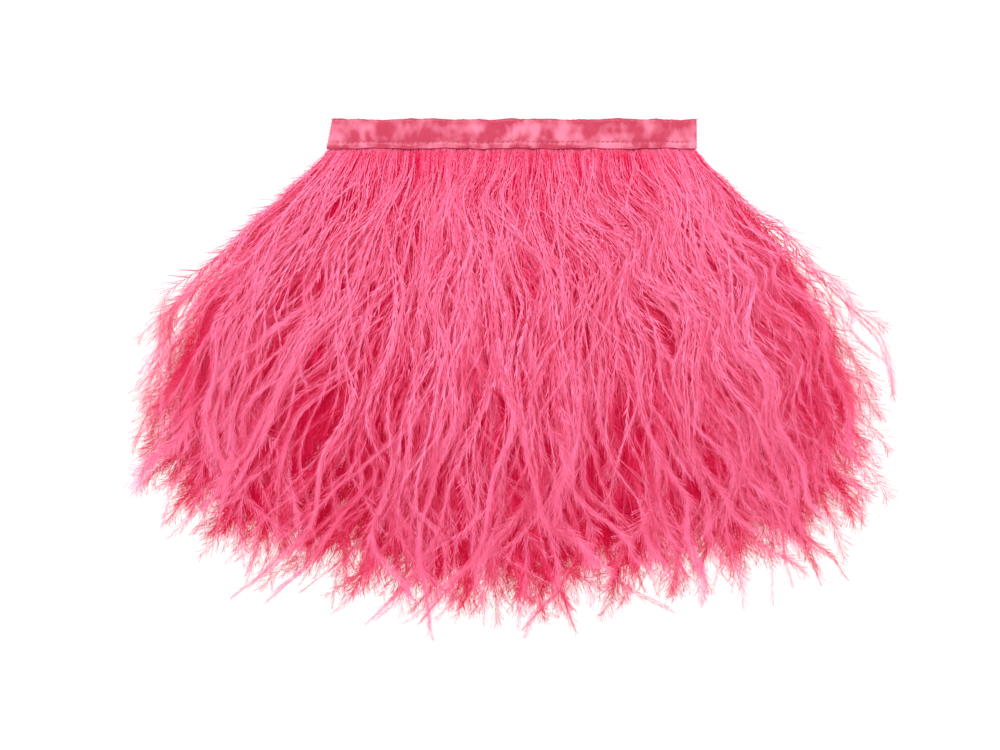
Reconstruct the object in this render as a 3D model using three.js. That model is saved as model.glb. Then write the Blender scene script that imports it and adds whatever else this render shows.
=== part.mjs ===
// A cut length of two-ply ostrich fringe: flues strung in two plies, sewn inside a folded satin header.
// Millimetres, +Z up. It hangs as it is worn. The origin is the centre of the header's back face.
// +X runs along the header, the front faces -Y and the fringe falls towards -Z.
import * as THREE from 'three';

// the satin header
const HEADER_LENGTH = 118;
const RIBBON_WIDTH = 19;
const HEADER_HEIGHT = RIBBON_WIDTH / 2;
const SATIN_THICKNESS = 0.4;
const END_SLANT = 1.9;

// the flue butts strung inside the header, one strip for each ply
const ROOT_THICKNESS = 0.6;
const ROOT_TOP = 1.0;
const ROOT_INSET = 1.5;
const CORD_DIAMETER = 0.5;
const CORD_CLEARANCE = 0.3;

// the lockstitch that closes the header
const STITCH_PITCH = 1.6;
const STITCH_ABOVE_EDGE = 2.1;
const THREAD_HEIGHT = 0.4;
const THREAD_DEPTH = 0.2;
const THREAD_CLEARANCE = 0.05;
const STITCH_DIP = 0.08;

// the fringe
const LOCK_COLUMNS = 10;
const FRINGE_LENGTH = 152;
const SIDE_LENGTH = 106;
const SIDE_SPREAD = 57;
const SPREAD_DROP = 35;
const SPREAD_CURVE = 1.35;
const FAN_CURVE = 1.6;
const LENGTH_CURVE = 2.6;
const PLY_THICKNESS = 7;
const PLY_FLARE = 8;
const TIP_THINNING = 0.65;
const TIP_START = 0.62;
const LOCK_EDGE_THICKNESS = 0.6;

// how the locks hang from the seam
const HINGE_BELOW_HEADER = 0.2;
const LOCK_TOP_RADIUS = 0.6;
const LOCK_SIDE_GAP = 0.5;
const PLY_GAP = 0.3;
const PLY_TOP_ANGLE = 0.08;
const LOCK_WEDGE_ANGLE = 0.26;

// values that follow from the ones above
const HEADER_THICKNESS = 2 * (SATIN_THICKNESS + ROOT_THICKNESS);
const HEADER_MIDDLE_Y = -HEADER_THICKNESS / 2;
const MOUTH_Z = -HEADER_HEIGHT / 2;
const STITCH_Z = MOUTH_Z + STITCH_ABOVE_EDGE;
const HINGE_Z = MOUTH_Z - HINGE_BELOW_HEADER;
const HALF_SEAM = HEADER_LENGTH / 2 - END_SLANT / 2;
const INNER_LENGTH = HEADER_LENGTH - END_SLANT - 2 * ROOT_INSET;

const satin = () => new THREE.MeshStandardMaterial({ color: 0xee6389, roughness: 0.35, metalness: 0 });
const root = () => new THREE.MeshStandardMaterial({ color: 0xc93a66, roughness: 0.8, metalness: 0 });
const thread = () => new THREE.MeshStandardMaterial({ color: 0xd94672, roughness: 0.6, metalness: 0 });
const flue = () => new THREE.MeshStandardMaterial({ color: 0xf5709b, roughness: 0.85, metalness: 0 });

const group = new THREE.Group();
group.name = 'ostrich_fringe';

function add(name, geometry, material) {
  const mesh = new THREE.Mesh(geometry, material);
  mesh.name = name;
  group.add(mesh);
}

// moves every corner of a geometry to the place that the function gives for it
function reshape(geometry, place) {
  const corners = geometry.attributes.position;
  for (let i = 0; i < corners.count; i += 1) {
    const point = place(corners.getX(i), corners.getY(i), corners.getZ(i));
    corners.setXYZ(i, point.x, point.y, point.z);
  }
  geometry.computeVertexNormals();
  return geometry;
}

// the ribbon's cross-section: one leg up the back, a round fold on top, one leg down the front,
// with a shallow channel pressed into each leg where the stitches pull the satin in
function ribbonSection() {
  const fold = HEADER_THICKNESS / 2;
  const foldZ = HEADER_HEIGHT / 2 - fold;
  const channelLow = STITCH_Z - THREAD_HEIGHT / 2 - THREAD_CLEARANCE;
  const channelHigh = STITCH_Z + THREAD_HEIGHT / 2 + THREAD_CLEARANCE;
  const section = new THREE.Shape();
  section.moveTo(0, MOUTH_Z);
  section.lineTo(0, channelLow);
  section.lineTo(-THREAD_DEPTH, channelLow);
  section.lineTo(-THREAD_DEPTH, channelHigh);
  section.lineTo(0, channelHigh);
  section.lineTo(0, foldZ);
  section.absarc(HEADER_MIDDLE_Y, foldZ, fold, 0, Math.PI, false);
  section.lineTo(-HEADER_THICKNESS, channelHigh);
  section.lineTo(-HEADER_THICKNESS + THREAD_DEPTH, channelHigh);
  section.lineTo(-HEADER_THICKNESS + THREAD_DEPTH, channelLow);
  section.lineTo(-HEADER_THICKNESS, channelLow);
  section.lineTo(-HEADER_THICKNESS, MOUTH_Z);
  section.lineTo(-HEADER_THICKNESS + SATIN_THICKNESS, MOUTH_Z);
  section.lineTo(-HEADER_THICKNESS + SATIN_THICKNESS, foldZ);
  section.absarc(HEADER_MIDDLE_Y, foldZ, fold - SATIN_THICKNESS, Math.PI, 0, true);
  section.lineTo(-SATIN_THICKNESS, MOUTH_Z);
  return section;
}

// the ribbon runs along X, and its left end is cut on a slant
function satinRibbon() {
  const settings = { depth: HEADER_LENGTH, steps: 1, bevelEnabled: false, curveSegments: 10 };
  const solid = new THREE.ExtrudeGeometry(ribbonSection(), settings);
  return reshape(solid, (y, z, along) => {
    const slant = along < HEADER_LENGTH / 2 ? (END_SLANT * z) / HEADER_HEIGHT : 0;
    return { x: along - HEADER_LENGTH / 2 + slant, y, z };
  });
}

// one ply's flue butts, side by side inside the fold; ply is -1 at the front and 1 at the back
function rootStrip(ply) {
  const height = ROOT_TOP - MOUTH_Z;
  const solid = new THREE.BoxGeometry(INNER_LENGTH, ROOT_THICKNESS, height);
  solid.translate(0, HEADER_MIDDLE_Y + (ply * ROOT_THICKNESS) / 2, MOUTH_Z + height / 2);
  return solid;
}

// the cord that one ply was strung on, lying above its butts
function stringingCord(ply) {
  const solid = new THREE.CylinderGeometry(CORD_DIAMETER / 2, CORD_DIAMETER / 2, INNER_LENGTH, 12);
  solid.rotateZ(Math.PI / 2);
  const z = ROOT_TOP + CORD_CLEARANCE + CORD_DIAMETER / 2;
  solid.translate(0, HEADER_MIDDLE_Y + (ply * ROOT_THICKNESS) / 2, z);
  return solid;
}

// one thread of the lockstitch, lying in its channel and dipping where it goes through the satin
function stitchThread(ply) {
  const stitches = Math.floor(INNER_LENGTH / STITCH_PITCH);
  const length = stitches * STITCH_PITCH;
  const solid = new THREE.BoxGeometry(length, THREAD_DEPTH, THREAD_HEIGHT, stitches * 2, 1, 1);
  const floor = ply > 0 ? -THREAD_DEPTH : -HEADER_THICKNESS + THREAD_DEPTH;
  return reshape(solid, (x, y, z) => {
    const step = Math.round((x + length / 2) / (STITCH_PITCH / 2));
    const dip = step % 2 === 0 ? STITCH_DIP : 0;
    const outside = y * ply > 0;
    const out = outside ? ply * (THREAD_DEPTH - dip) : 0;
    return { x, y: floor + out, z: STITCH_Z + z };
  });
}

// the fringe's half width at a distance below the seam
function halfWidth(drop) {
  return HALF_SEAM + SIDE_SPREAD * (1 - Math.exp(-((drop / SPREAD_DROP) ** SPREAD_CURVE)));
}

// where a flue that starts at a place along the seam (-1 to 1) is at a distance below the seam
function flueX(seam, drop) {
  const fan = Math.sign(seam) * Math.abs(seam) ** FAN_CURVE;
  return HALF_SEAM * seam + (halfWidth(drop) - HALF_SEAM) * fan;
}

function flueLength(seam) {
  return FRINGE_LENGTH - (FRINGE_LENGTH - SIDE_LENGTH) * Math.abs(seam) ** LENGTH_CURVE;
}

// one lock: all the flues of one ply that leave the seam in one column. Its corners lie on circles
// about the seam's hinge line, so a lock clears its neighbours wherever it swings.
function lock(ply, column) {
  const solid = new THREE.BoxGeometry(1, 1, 1, 4, 2, 16);
  const seamLow = -1 + (2 * column) / LOCK_COLUMNS;
  const seamHigh = seamLow + 2 / LOCK_COLUMNS;
  return reshape(solid, (u, v, w) => {
    const seam = seamLow + (seamHigh - seamLow) * (u + 0.5);
    const reach = flueLength(seam);
    const along = (0.5 - w) ** 1.4;
    const radius = LOCK_TOP_RADIUS + (reach - LOCK_TOP_RADIUS) * along;
    const gap = -u * LOCK_SIDE_GAP;
    const round = LOCK_EDGE_THICKNESS + (1 - LOCK_EDGE_THICKNESS) * Math.cos(Math.PI * u);
    const tip = Math.max(0, (radius / reach - TIP_START) / (1 - TIP_START));
    const thickness = PLY_THICKNESS * round * (1 - TIP_THINNING * tip);
    const flare = PLY_FLARE * (radius / FRINGE_LENGTH) ** 2;
    const inner = Math.min(PLY_TOP_ANGLE, PLY_GAP / 2 / radius) + flare / radius;
    const outer = Math.min(LOCK_WEDGE_ANGLE, inner + thickness / radius);
    const share = ply > 0 ? v + 0.5 : 0.5 - v;
    const angle = inner + (outer - inner) * share;
    return {
      x: flueX(seam, radius) + gap,
      y: HEADER_MIDDLE_Y + ply * radius * Math.sin(angle),
      z: HINGE_Z - radius * Math.cos(angle),
    };
  });
}

add('satin_ribbon', satinRibbon(), satin());
add('front_root_strip', rootStrip(-1), root());
add('back_root_strip', rootStrip(1), root());
add('front_stringing_cord', stringingCord(-1), thread());
add('back_stringing_cord', stringingCord(1), thread());
add('needle_thread', stitchThread(-1), thread());
add('bobbin_thread', stitchThread(1), thread());
for (let column = 0; column < LOCK_COLUMNS; column += 1) {
  const number = String(column + 1).padStart(2, '0');
  add(`front_lock_${number}`, lock(-1, column), flue());
  add(`back_lock_${number}`, lock(1, column), flue());
}

export default group;
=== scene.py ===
"""A cut length of two-ply ostrich fringe on a folded satin header, dressed for the camera.

Metres, +Z up. The origin is the centre of the header's back face. The fringe hangs towards -Z and
its front faces -Y. Every flue is grown by itself, with its shaft and its barbules, and rides with
the lock that it belongs to.
"""

import logging
import math
from dataclasses import dataclass, field
from enum import Enum
from typing import Any, Callable, Sequence, Union

import bmesh
import bpy
import numpy as np
from mathutils import Matrix, Vector


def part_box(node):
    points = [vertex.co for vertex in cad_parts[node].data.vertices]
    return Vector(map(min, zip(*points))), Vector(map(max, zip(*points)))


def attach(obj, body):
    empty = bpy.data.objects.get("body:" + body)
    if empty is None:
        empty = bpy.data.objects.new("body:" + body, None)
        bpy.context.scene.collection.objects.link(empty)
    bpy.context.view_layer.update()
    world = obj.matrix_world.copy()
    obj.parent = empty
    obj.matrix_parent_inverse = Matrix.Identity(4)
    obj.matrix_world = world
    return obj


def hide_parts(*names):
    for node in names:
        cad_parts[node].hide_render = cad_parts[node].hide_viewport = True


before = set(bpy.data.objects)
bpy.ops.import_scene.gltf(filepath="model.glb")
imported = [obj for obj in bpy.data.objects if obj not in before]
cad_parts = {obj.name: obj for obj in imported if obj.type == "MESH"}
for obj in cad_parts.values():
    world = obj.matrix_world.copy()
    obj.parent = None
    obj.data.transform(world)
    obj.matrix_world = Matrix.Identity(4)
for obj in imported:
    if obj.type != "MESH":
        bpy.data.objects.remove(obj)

LOG = logging.getLogger("ostrich_fringe")
MM = 0.001
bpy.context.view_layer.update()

Colour = tuple[float, float, float]
Span = tuple[float, float]
TURN = 2 * math.pi


class Ply(Enum):
    """The two layers of flues; the value is the side of the seam that the ply lies on."""

    FRONT = -1
    BACK = 1

    @property
    def word(self) -> str:
        """The ply's name as it stands in node names."""
        return self.name.lower()


# ---------------------------------------------------------------------------------------------
# shader maths


class Term:
    """One output of a material's node tree, with the usual arithmetic."""

    def __init__(self, graph: "Graph", socket: bpy.types.NodeSocket) -> None:
        """Wraps a socket of the graph."""
        self.graph = graph
        self.socket = socket

    def _math(self, operation: str, *values: Any) -> "Term":
        """Returns a Math node's result for the given values."""
        return self.graph.node("ShaderNodeMath", {"operation": operation}, dict(enumerate(values)))

    def __add__(self, other: Any) -> "Term":
        """self + other."""
        return self._math("ADD", self, other)

    def __radd__(self, other: Any) -> "Term":
        """other + self."""
        return self._math("ADD", other, self)

    def __sub__(self, other: Any) -> "Term":
        """self - other."""
        return self._math("SUBTRACT", self, other)

    def __rsub__(self, other: Any) -> "Term":
        """other - self."""
        return self._math("SUBTRACT", other, self)

    def __mul__(self, other: Any) -> "Term":
        """self * other."""
        return self._math("MULTIPLY", self, other)

    def __rmul__(self, other: Any) -> "Term":
        """other * self."""
        return self._math("MULTIPLY", other, self)

    def clamp(self, low: float = 0.0, high: float = 1.0) -> "Term":
        """Holds the value between low and high."""
        return self._math("MINIMUM", self._math("MAXIMUM", self, low), high)

    def sine(self) -> "Term":
        """Sine of the value, in radians."""
        return self._math("SINE", self)


Value = Union[Term, float, int, Sequence[float]]


class Graph:
    """A material's node tree, built up term by term."""

    def __init__(self, name: str) -> None:
        """Makes an empty material with a Principled shader wired to its output.

        Args:
            name: the material's name.
        """
        self.material = bpy.data.materials.new(name)
        self.material.use_nodes = True
        self.tree = self.material.node_tree
        self.shader = next(n for n in self.tree.nodes if n.type == "BSDF_PRINCIPLED")

    def node(
        self, kind: str, settings: dict[str, Any], inputs: dict[Any, Any], output: Any = 0
    ) -> Term:
        """Adds any node.

        Args:
            kind: the node's type.
            settings: its properties.
            inputs: values or terms by input name or number.
            output: the name or number of the output wanted.

        Returns:
            The chosen output as a term.
        """
        made = self.tree.nodes.new(kind)
        for name, value in settings.items():
            setattr(made, name, value)
        for key, value in inputs.items():
            self.feed(made.inputs[key], value)
        return Term(self, made.outputs[output])

    def feed(self, socket: bpy.types.NodeSocket, value: Value) -> None:
        """Links a term to a socket, or sets the socket's own value."""
        if isinstance(value, Term):
            self.tree.links.new(value.socket, socket)
        else:
            socket.default_value = value

    def place(self) -> Term:
        """Object coordinates."""
        return self.node("ShaderNodeTexCoord", {}, {}, "Object")

    def along(self, axis: str) -> Term:
        """Object coordinate on one axis."""
        return self.node("ShaderNodeSeparateXYZ", {}, {0: self.place()}, axis)

    def attribute(self, name: str) -> Term:
        """A number stored on the mesh's vertices."""
        return self.node("ShaderNodeAttribute", {"attribute_name": name}, {}, "Fac")

    def noise(self, scale: float, detail: float = 2.0, stretch: Colour = (1, 1, 1)) -> Term:
        """Noise on object coordinates.

        Args:
            scale: how many features there are in a metre.
            detail: octaves.
            stretch: factors on the three axes.

        Returns:
            The noise value, about 0 to 1.
        """
        place = self.node("ShaderNodeMapping", {}, {"Vector": self.place(), "Scale": stretch})
        settings = {"Vector": place, "Scale": scale, "Detail": detail}
        return self.node("ShaderNodeTexNoise", {}, settings, "Fac")

    def mix(self, share: Value, low: Colour, high: Union[Colour, Term]) -> Term:
        """Mixes two colours.

        Args:
            share: 0 for the first colour, 1 for the second.
            low: the first colour.
            high: the second colour.

        Returns:
            The mixed colour.
        """
        mixed = self.tree.nodes.new("ShaderNodeMix")
        mixed.data_type = "RGBA"
        self.feed(mixed.inputs[0], share)
        self.feed(mixed.inputs[6], low if isinstance(low, Term) else (*low, 1.0))
        self.feed(mixed.inputs[7], high if isinstance(high, Term) else (*high, 1.0))
        return Term(self, mixed.outputs[2])

    def bump(self, height: Value, strength: float, distance: float) -> Term:
        """Turns a height into a normal.

        Args:
            height: the height.
            strength: how strong the effect is, up to 1.
            distance: what a height of 1 stands for, in metres.

        Returns:
            The normal.
        """
        inputs = {"Height": height, "Strength": strength, "Distance": distance}
        return self.node("ShaderNodeBump", {}, inputs, "Normal")

    def finish(self, **inputs: Value) -> bpy.types.Material:
        """Sets the shader's inputs.

        Args:
            inputs: values or terms by the input's name, with underscores for its spaces.

        Returns:
            The finished material.
        """
        for name, value in inputs.items():
            if not isinstance(value, Term) and name.endswith(("Color", "Tint")):
                value = (*value, 1.0)
            self.feed(self.shader.inputs[name.replace("_", " ")], value)
        return self.material


# ---------------------------------------------------------------------------------------------
# finishes


@dataclass(frozen=True)
class SatinFinish:
    """Polyester satin ribbon with smooth floats. Its colour holds painted highlights and painted shade
    in soft blotches and small specks, and painted shade towards the fold.
    """

    light: Colour = (0.66, 0.155, 0.245)
    dark: Colour = (0.42, 0.016, 0.058)
    roughness: float = 0.34
    rougher: float = 0.14
    float_pitch: float = 0.16 * MM
    patches: float = 205.0
    patch_start: float = 0.42
    patch_edge: float = 3.6
    flecks: float = 420.0
    fleck_share: float = 1.2
    fold_shade: float = 0.3
    fold_from: float = 2.25 * MM
    fold_rise: float = 2.5 * MM

    def material(self) -> bpy.types.Material:
        """Builds the finish."""
        graph = Graph("satin")
        # Painted highlights and painted shade of the puckered satin, as soft blotches and small
        # specks.
        patches = graph.noise(self.patches, 1.5, (0.95, 1.0, 0.7))
        flecks = graph.noise(self.flecks, 3.0, (1.0, 1.0, 0.7))
        # Painted shade: darker towards the fold at the top.
        shaded = ((graph.along("Z") - self.fold_from) * (1 / self.fold_rise)).clamp()
        share = (patches - self.patch_start) * self.patch_edge
        share = share + (flecks - 0.5) * self.fleck_share - shaded * self.fold_shade
        floats = (graph.along("X") * (TURN / self.float_pitch)).sine()
        height = floats * 0.25 + graph.noise(1800.0, 2.0, (1.0, 1.0, 0.25))
        return graph.finish(
            Base_Color=graph.mix(share.clamp(), self.dark, self.light),
            Roughness=self.roughness + self.rougher * graph.noise(300.0),
            Normal=graph.bump(height, 0.25, 0.04 * MM),
            Sheen_Weight=0.1,
            Sheen_Roughness=0.35,
            Sheen_Tint=(1.0, 0.55, 0.68),
            Anisotropic=0.4,
        )


@dataclass(frozen=True)
class ThreadFinish:
    """Two-ply sewing thread with a soft lustre and a visible twist; its colour holds painted shade in
    the grooves between the plies.
    """

    light: Colour = (0.60, 0.05, 0.13)
    dark: Colour = (0.34, 0.012, 0.05)
    twist_pitch: float = 0.45 * MM
    twist_slope: float = 0.8

    def material(self) -> bpy.types.Material:
        """Builds the finish."""
        graph = Graph("thread")
        across = graph.along("X") + graph.along("Z") * self.twist_slope
        # Painted shade: darker in the grooves between the twisted plies.
        twist = (across * (TURN / self.twist_pitch)).sine() * 0.5 + 0.5
        return graph.finish(
            Base_Color=graph.mix(twist, self.dark, self.light),
            Roughness=0.5 + 0.1 * graph.noise(2500.0),
            Normal=graph.bump(twist, 0.6, 0.05 * MM),
            Sheen_Weight=0.2,
        )


@dataclass(frozen=True)
class ButtFinish:
    """The flues' cut butts inside the fold, matted with dye."""

    light: Colour = (0.62, 0.05, 0.16)
    dark: Colour = (0.30, 0.01, 0.05)

    def material(self) -> bpy.types.Material:
        """Builds the finish."""
        graph = Graph("flue_butts")
        fibres = graph.noise(3200.0, 3.0, (1.0, 1.0, 0.08))
        return graph.finish(
            Base_Color=graph.mix(fibres, self.dark, self.light),
            Roughness=0.8,
            Normal=graph.bump(fibres, 0.7, 0.15 * MM),
        )


@dataclass(frozen=True)
class FlueFinish:
    """Dyed ostrich flue: matt keratin, palest along the shaft.

    The glow stands in for the light that scatters from flue to flue.
    """

    deep: Colour = (0.66, 0.006, 0.075)
    bright: Colour = (0.86, 0.24, 0.425)
    barbule_lift: float = -0.05
    dye_patches: float = 60.0
    dye_share: float = 0.5
    roughness: float = 0.62
    rougher: float = 0.12
    specular: float = 0.12
    glow: Colour = (0.9, 0.006, 0.07)
    glow_strength: float = 0.12

    def material(self) -> bpy.types.Material:
        """Builds the finish."""
        graph = Graph("ostrich_flue")
        barbule = graph.attribute("barbule")
        dye = graph.noise(self.dye_patches)
        # The flues' paleness holds painted shade: darker deeper in the ply, at the root under the
        # header and towards the tip.
        share = graph.attribute("tone") + barbule * self.barbule_lift
        share = (share + (dye - 0.5) * self.dye_share).clamp()
        return graph.finish(
            Base_Color=graph.mix(share, self.deep, self.bright),
            Roughness=self.roughness + self.rougher * dye,
            Specular_IOR_Level=self.specular,
            Emission_Color=self.glow,
            Emission_Strength=self.glow_strength,
        )


# ---------------------------------------------------------------------------------------------
# shared shapes


# the share of a limit at which places start to be eased towards it
EASED_FROM = 0.85


def smooth(value: Any, low: float, high: float) -> Any:
    """Eases from 0 to 1.

    Args:
        value: a number or an array.
        low: where the rise starts.
        high: where it ends.

    Returns:
        The share, of the same kind as value.
    """
    share = np.clip((value - low) / (high - low), 0.0, 1.0)
    return share * share * (3.0 - 2.0 * share)


def held_within(place: np.ndarray, limit: float) -> np.ndarray:
    """Leaves small places alone and eases large ones towards a limit, on both sides of 0.

    Args:
        place: the places.
        limit: what none of them passes.

    Returns:
        The places inside the limit.
    """
    ease = EASED_FROM * limit
    beyond = np.maximum(np.abs(place) - ease, 0.0)
    return np.sign(place) * (
        np.minimum(np.abs(place), ease) + (limit - ease) * np.tanh(beyond / (limit - ease))
    )


def finished(name: str, shape: bmesh.types.BMesh, material: bpy.types.Material) -> bpy.types.Object:
    """Turns a bmesh into a smooth-shaded object in the scene.

    Args:
        name: the object's name.
        shape: the bmesh, which is freed.
        material: its finish.

    Returns:
        The object.
    """
    mesh = bpy.data.meshes.new(name)
    bmesh.ops.recalc_face_normals(shape, faces=shape.faces)
    for face in shape.faces:
        face.smooth = True
    shape.to_mesh(mesh)
    shape.free()
    mesh.materials.append(material)
    piece = bpy.data.objects.new(name, mesh)
    bpy.context.collection.objects.link(piece)
    return piece


def tube(
    shape: bmesh.types.BMesh, route: Sequence[Vector], radius: Callable[[float], float], sides: int
) -> None:
    """Adds a closed tube along a route.

    Args:
        shape: the bmesh to add to.
        route: its points.
        radius: gives the radius at a share of the route from 0 to 1.
        sides: corners round it.
    """
    forward = (route[1] - route[0]).to_track_quat("Z", "Y").to_matrix().to_4x4()
    ring = bmesh.ops.create_circle(
        shape,
        cap_ends=True,
        segments=sides,
        radius=radius(0.0),
        matrix=Matrix.Translation(route[0]) @ forward,
    )["verts"]
    cap = ring[0].link_faces[0]
    for number in range(1, len(route)):
        share = number / (len(route) - 1)
        grown = bmesh.ops.extrude_face_region(shape, geom=[cap])["geom"]
        new = [item for item in grown if isinstance(item, bmesh.types.BMVert)]
        cap = next(item for item in grown if isinstance(item, bmesh.types.BMFace))
        bmesh.ops.translate(shape, verts=new, vec=route[number] - route[number - 1])
        scale = radius(share) / max(radius((number - 1) / (len(route) - 1)), 1e-9)
        about = Matrix.Translation(-route[number])
        bmesh.ops.scale(shape, verts=new, vec=(scale, scale, scale), space=about)


# ---------------------------------------------------------------------------------------------
# the header


# height, wavelength and phase of the waves in the header's fold and in its lower edge
FOLD_WAVES = ((0.16 * MM, 31 * MM, 0.8), (0.10 * MM, 12 * MM, 2.1))
HEM_WAVES = ((0.18 * MM, 23 * MM, 1.1), (0.10 * MM, 8 * MM, 0.0))


@dataclass
class Header:
    """The folded satin ribbon with its lockstitch and the flue butts inside it."""

    wall: float = 0.3 * MM
    stitch_above_edge: float = 2.1 * MM
    stitch_pitch: float = 1.6 * MM
    stitch_pinch: float = 0.30 * MM
    pinch_width: float = 0.42 * MM
    pinch_beat: float = 0.28
    stitch_size: Colour = (0.74 * MM, 0.12 * MM, 0.14 * MM)
    stitch_seat: float = 0.13 * MM
    welt_height: float = 0.16 * MM
    welt_width: float = 0.7 * MM
    welt_below: float = 1.25 * MM
    flat_share: float = 0.35
    puckered_above: float = 1.4 * MM
    end_slant: float = 1.9 * MM
    slant_along: Span = (0.40, 0.5)
    yarns_per_end: int = 9
    yarn_root: Span = (0.3 * MM, 0.2 * MM)
    yarn_reach: Span = (0.5 * MM, 1.6 * MM)
    longest_yarn: float = 2.4 * MM
    yarn_radius: Span = (0.06 * MM, 0.03 * MM)
    grid_columns: int = 420
    grid_rows: int = 84
    seed: int = 11
    low: Vector = field(init=False)
    high: Vector = field(init=False)

    def __post_init__(self) -> None:
        """Takes the header's box from the frame."""
        low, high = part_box("satin_ribbon")
        self.low, self.high = Vector(low), Vector(high)

    @property
    def length(self) -> float:
        """Length along X, without what the slanted cut adds."""
        return self.high.x - self.low.x - self.end_slant / 2

    @property
    def thickness(self) -> float:
        """Front to back."""
        return self.high.y - self.low.y

    @property
    def height(self) -> float:
        """Lower edge to fold."""
        return self.high.z - self.low.z

    @property
    def stitch_z(self) -> float:
        """Height of the stitch line."""
        return self.low.z + self.stitch_above_edge

    def around(self, share: float) -> tuple[float, float, float, float]:
        """Follows the ribbon's section from the back's lower edge over the fold to the front's.

        Args:
            share: 0 at the back edge, 1 at the front edge.

        Returns:
            y, z and the outward direction's y and z.
        """
        fold = self.thickness / 2
        leg = self.height - fold
        arc = math.pi * fold
        at = share * (2 * leg + arc)
        middle = (self.high.y + self.low.y) / 2
        if at < leg:
            return self.high.y, self.low.z + at, 1.0, 0.0
        if at > leg + arc:
            return self.low.y, self.low.z + (2 * leg + arc - at), -1.0, 0.0
        angle = (at - leg) / fold
        out_y, out_z = math.cos(angle), math.sin(angle)
        return middle + fold * out_y, self.low.z + leg + fold * out_z, out_y, out_z

    def pucker(self, x: float, z: float, side: float, waves: np.ndarray) -> float:
        """How far the satin stands in or out of its flat face.

        Args:
            x: place along the header.
            z: height.
            side: -1 on the front, 1 on the back.
            waves: rows of wavelength, lean, phase and height.

        Returns:
            The distance, outwards positive.
        """
        above = z - self.stitch_z
        pull = math.exp(-((above / self.pinch_width) ** 2))
        beat = 1 - self.pinch_beat + self.pinch_beat * math.cos(TURN * x / self.stitch_pitch)
        out = -self.stitch_pinch * pull * beat
        out += self.welt_height * math.exp(-(((above + self.welt_below) / self.welt_width) ** 2))
        rise = 0.0
        for wavelength, lean, phase, height in waves:
            rise += height * math.sin(TURN * (x + lean * z) / wavelength + phase + side)
        free = self.flat_share + (1 - self.flat_share) * smooth(abs(above), 0.0, self.puckered_above)
        return out + rise * free

    @staticmethod
    def ripples(
        rng: np.random.Generator, count: int, wavelength: Span, lean: Span, height: Span
    ) -> np.ndarray:
        """Draws ripples for the satin.

        Args:
            rng: random numbers.
            count: how many.
            wavelength: least and greatest wavelength, in millimetres.
            lean: least and greatest slope of a crest.
            height: least and greatest height, in millimetres.

        Returns:
            Rows of wavelength, lean, phase and height.
        """
        columns = [
            rng.uniform(*wavelength, count) * MM,
            rng.uniform(*lean, count),
            rng.uniform(0, TURN, count),
            rng.uniform(*height, count) * MM,
        ]
        return np.column_stack(columns)

    @staticmethod
    def wavy(x: float, waves: Sequence[tuple[float, float, float]]) -> float:
        """Adds up waves at a place along the header.

        Args:
            x: the place.
            waves: rows of height, wavelength and phase.

        Returns:
            Their sum.
        """
        return sum(height * math.sin(TURN * x / length + phase) for height, length, phase in waves)

    def slanted(self, along: float, z: float) -> float:
        """How far the slanted cut of the left end shifts a point along the header.

        Args:
            along: the point's share of the header's length, from -0.5 to 0.5.
            z: its height.

        Returns:
            The shift along X.
        """
        return self.end_slant * (z / self.height) * smooth(-along, *self.slant_along)

    def ribbon(self, material: bpy.types.Material) -> bpy.types.Object:
        """Builds the satin as one folded sheet."""
        rng = np.random.default_rng(self.seed)
        waves = self.ripples(rng, 14, (5, 26), (-1.2, 1.2), (0.02, 0.075))
        puckers = self.ripples(rng, 8, (1.5, 3.6), (-0.5, 0.5), (0.008, 0.022))
        both = np.vstack([waves, puckers])
        shape = bmesh.new()
        bmesh.ops.create_grid(shape, x_segments=self.grid_columns, y_segments=self.grid_rows, size=0.5)
        uv = shape.loops.layers.uv.new("cloth")
        for face in shape.faces:
            for loop in face.loops:
                loop[uv].uv = (loop.vert.co.x + 0.5, loop.vert.co.y + 0.5)
        for vert in shape.verts:
            along, share = vert.co.x, vert.co.y + 0.5
            x = along * self.length
            y, z, out_y, out_z = self.around(share)
            side = 1.0 if share < 0.5 else -1.0
            out = self.pucker(x, z, side, both)
            if side > 0:
                out = min(out, 0.0)
            up = (z - self.low.z) / self.height
            wavy = self.wavy(x, FOLD_WAVES) * up + self.wavy(x, HEM_WAVES) * (1 - up)
            vert.co = (
                x + self.slanted(along, z),
                y + out_y * (out - self.wall / 2),
                z + out_z * (out - self.wall / 2) + wavy,
            )
        piece = finished("satin_header", shape, material)
        wall = piece.modifiers.new("wall", "SOLIDIFY")
        wall.thickness = self.wall
        wall.offset = 0.0
        return piece

    def stitches(self, ply: Ply, material: bpy.types.Material) -> bpy.types.Object:
        """Lays one thread of the lockstitch, stitch by stitch, in the line that it pulls in."""
        shape = bmesh.new()
        count = int((self.length - self.end_slant) / self.stitch_pitch) - 1
        face_y = self.low.y if ply is Ply.FRONT else self.high.y
        rng = np.random.default_rng(self.seed + 5)
        for number in range(count):
            x = (number - (count - 1) / 2) * self.stitch_pitch
            tilt = Matrix.Rotation(rng.uniform(-0.12, 0.02), 4, "Y")
            z = self.stitch_z + rng.normal(0, 0.03 * MM)
            place = Matrix.Translation((x, face_y - ply.value * self.stitch_seat, z))
            size = Matrix.Diagonal((*self.stitch_size, 1.0))
            bmesh.ops.create_uvsphere(
                shape, u_segments=8, v_segments=6, radius=1.0, matrix=place @ tilt @ size
            )
        return finished(f"{ply.word}_stitches", shape, material)

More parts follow.
